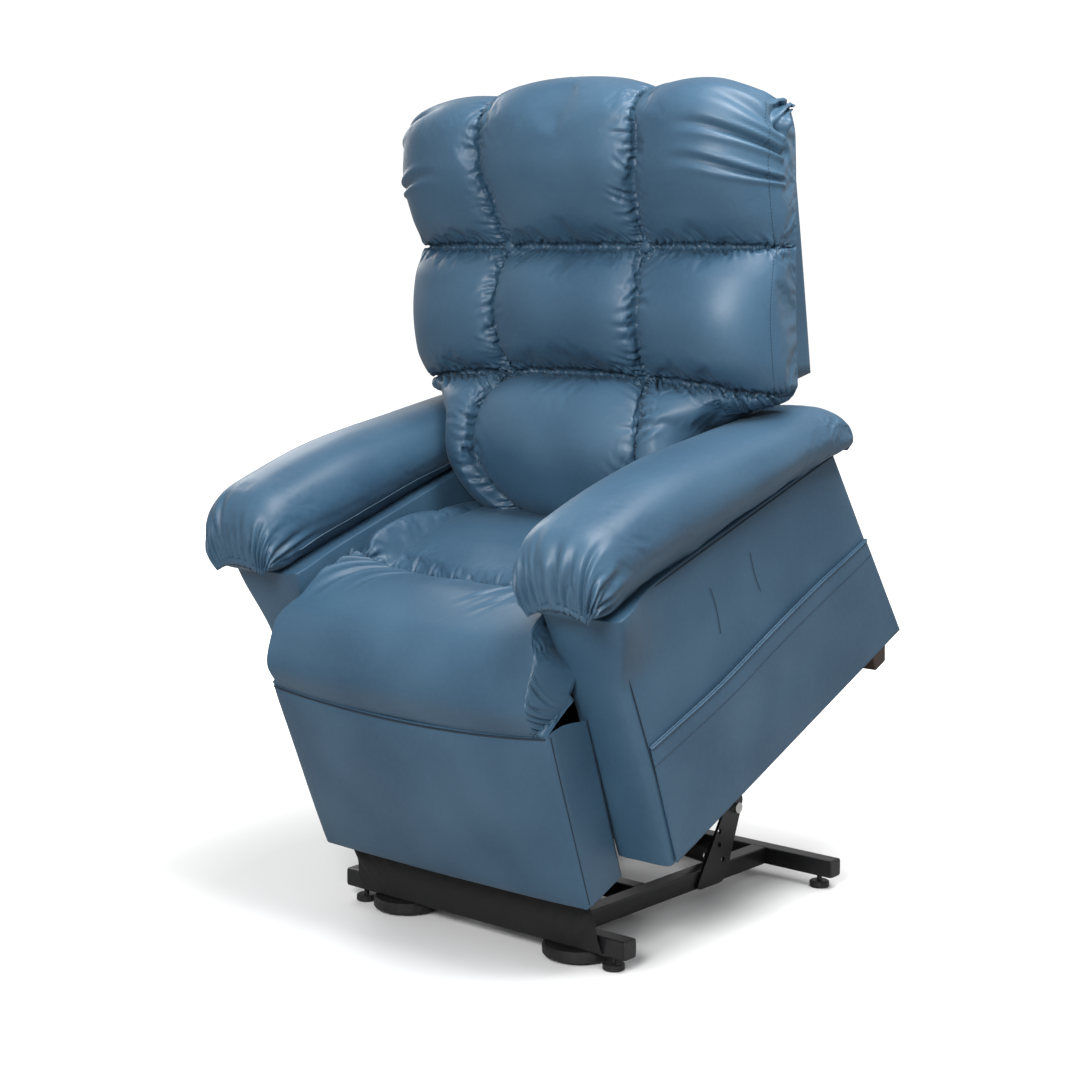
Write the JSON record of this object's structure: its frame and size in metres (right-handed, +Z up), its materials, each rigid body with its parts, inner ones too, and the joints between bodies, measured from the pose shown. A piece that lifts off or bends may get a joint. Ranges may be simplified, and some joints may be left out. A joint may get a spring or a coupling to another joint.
{
  "type": "lift recliner chair",
  "caption": "Powered lift recliner chair in blue leather, raised and tipped forward on a black steel base, with padded back, rolled arms and folding footrest.",
  "frame": {"origin": "middle of the object's box, on the floor under the levelling feet, with the chair raised", "axes": "+Z up, the chair faces -Y, +X to the sitter's left"},
  "size_m": [0.97, 1.0336, 1.57],
  "materials": {
    "leather": "satin",
    "black_paint": "satin",
    "black_plastic": "matte",
    "black_cloth": "matte",
    "bright_steel": "satin",
    "timber": "matte",
    "walnut": "satin"
  },
  "bodies": {
    "base": {"front_crossbar": "black_paint", "rear_crossbar": "black_paint", "mid_crossbar": "black_paint", "side_rail_left": "black_paint", "side_rail_right": "black_paint", "tower_plate_left": "black_paint", "tower_plate_right": "black_paint", "tower_bolt_left": "bright_steel", "tower_bolt_right": "bright_steel", "front_foot_left": "black_plastic", "front_foot_right": "black_plastic", "rear_foot_left": "black_plastic", "rear_foot_right": "black_plastic", "glide_disc_left": "black_plastic", "glide_disc_right": "black_plastic", "power_supply": "black_plastic", "motor_clevis": "black_paint", "front_skirt": "black_cloth"},
    "lift_arms": {"lift_arm_left": "black_paint", "lift_arm_right": "black_paint", "torque_tube": "black_paint"},
    "lower_links": {"lower_link_left": "black_paint", "lower_link_right": "black_paint"},
    "lift_motor": {"lift_motor": "black_plastic"},
    "lift_rod": {"lift_rod": "bright_steel"},
    "chair": {"seat_rail_left": "black_paint", "seat_rail_right": "black_paint", "front_rail": "timber", "rear_rail": "timber", "seat_deck": "black_cloth", "arm_outer_panel_left": "leather", "arm_outer_panel_right": "leather", "arm_inner_panel_left": "leather", "arm_inner_panel_right": "leather", "arm_front_panel_left": "leather", "arm_front_panel_right": "leather", "arm_rear_panel_left": "leather", "arm_rear_panel_right": "leather", "arm_pad_left": "leather", "arm_pad_right": "leather", "seat_cushion": "leather", "chaise_pad": "leather", "rear_leg_left": "walnut", "rear_leg_right": "walnut"},
    "recline_motor": {"recline_motor": "black_plastic"},
    "recline_rod": {"recline_rod": "bright_steel"},
    "back": {"back_shell": "leather", "back_post_left": "timber", "back_post_right": "timber", "back_tube": "black_paint", "back_pad_upper": "leather", "back_pad_middle": "leather", "back_pad_lumbar": "leather"},
    "footrest": {"footrest_board": "timber", "footrest_pad": "leather"},
    "footrest_lower_links": {"footrest_lower_link_left": "black_paint", "footrest_lower_link_right": "black_paint"},
    "footrest_upper_links": {"footrest_upper_link_left": "black_paint", "footrest_upper_link_right": "black_paint"}
  },
  "joints": [
    {"name": "lift", "type": "hinge", "parent": "base", "child": "lift_arms", "pos_m": [0, 0.2961, 0.169], "axis": [1, 0, 0], "range_deg": [0, 33.95], "deforming": ["front_skirt"]},
    {"name": "chair_tilt", "type": "hinge", "parent": "lift_arms", "child": "chair", "pos_m": [0, -0.04788, 0.32415], "axis": [1, 0, 0], "range_deg": [-57.47, 0]},
    {"name": "lower_link_swing", "type": "hinge", "parent": "base", "child": "lower_links", "pos_m": [0, 0.2561, 0.071], "axis": [1, 0, 0], "range_deg": [0, 19.49]},
    {"name": "lift_motor_swing", "type": "hinge", "parent": "base", "child": "lift_motor", "pos_m": [0, 0.3741, 0.08], "axis": [1, 0, 0], "range_deg": [0, 22.95]},
    {"name": "lift_rod_slide", "type": "slide", "parent": "lift_motor", "child": "lift_rod", "axis": [0, -0.8357, 0.5492], "range_m": [-0.03153, 0]},
    {"name": "recline", "type": "hinge", "parent": "chair", "child": "back", "pos_m": [0, 0.20275, 0.75088], "axis": [-1, 0, 0], "range_deg": [0, 50]},
    {"name": "recline_motor_swing", "type": "hinge", "parent": "chair", "child": "recline_motor", "pos_m": [0, -0.04804, 0.37467], "axis": [1, 0, 0], "range_deg": [-1.33, 0]},
    {"name": "recline_rod_slide", "type": "slide", "parent": "recline_motor", "child": "recline_rod", "axis": [0, 0.7268, 0.6869], "range_m": [-0.09859, 0]},
    {"name": "footrest_swing", "type": "hinge", "parent": "chair", "child": "footrest", "pos_m": [0, -0.52891, 0.55269], "axis": [-1, 0, 0], "range_deg": [0, 88]},
    {"name": "footrest_lower_link_swing", "type": "hinge", "parent": "chair", "child": "footrest_lower_links", "pos_m": [0, -0.23444, 0.3645], "axis": [-1, 0, 0], "range_deg": [0, 62.1]},
    {"name": "footrest_upper_link_swing", "type": "hinge", "parent": "footrest", "child": "footrest_upper_links", "pos_m": [0, -0.39234, 0.4267], "axis": [-1, 0, 0], "range_deg": [-128.5, 0]}
  ],
  "couplings": [
    {"joint": "chair_tilt", "follows": "lift", "ratio": -1.6922},
    {"joint": "lower_link_swing", "follows": "lift", "ratio": 0.57348},
    {"joint": "lift_motor_swing", "follows": "lift", "ratio": 0.67527},
    {"joint": "lift_rod_slide", "follows": "lift", "m_per_rad": -0.053039},
    {"joint": "recline_motor_swing", "follows": "recline", "ratio": -0.026166},
    {"joint": "recline_rod_slide", "follows": "recline", "m_per_rad": -0.11286},
    {"joint": "footrest_lower_link_swing", "follows": "footrest_swing", "ratio": 0.70454},
    {"joint": "footrest_upper_link_swing", "follows": "footrest_swing", "ratio": -1.458}
  ]
}
